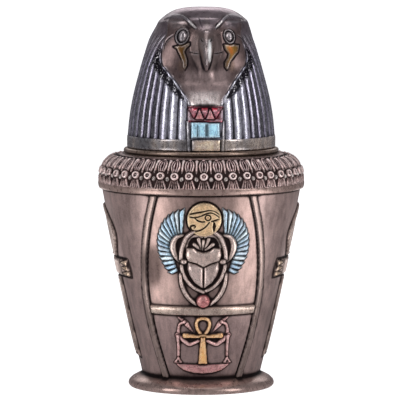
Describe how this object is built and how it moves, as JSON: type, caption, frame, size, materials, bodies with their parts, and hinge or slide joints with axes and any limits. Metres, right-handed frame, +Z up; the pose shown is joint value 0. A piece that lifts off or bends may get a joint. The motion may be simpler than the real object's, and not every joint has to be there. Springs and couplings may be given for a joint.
{
  "type": "canopic jar",
  "caption": "Tapered lidded jar on a round foot, with raised Egyptian ornament and a hollow falcon-headed lid that lifts off, for keepsakes or display.",
  "frame": {"origin": "centre of the foot's underside, on the surface that the jar stands on", "axes": "+Z up along the jar's axis, with the falcon's face and the winged scarab looking along -Y"},
  "size_m": [0.1092, 0.1092, 0.2],
  "materials": {
    "jar": "cast resin with a rubbed antique bronze coat and painted figures",
    "lid": "cast resin with a rubbed dark gunmetal and bronze coat"
  },
  "bodies": {
    "root": {"jar": "jar", "lid": "lid"}
  },
  "joints": []
}
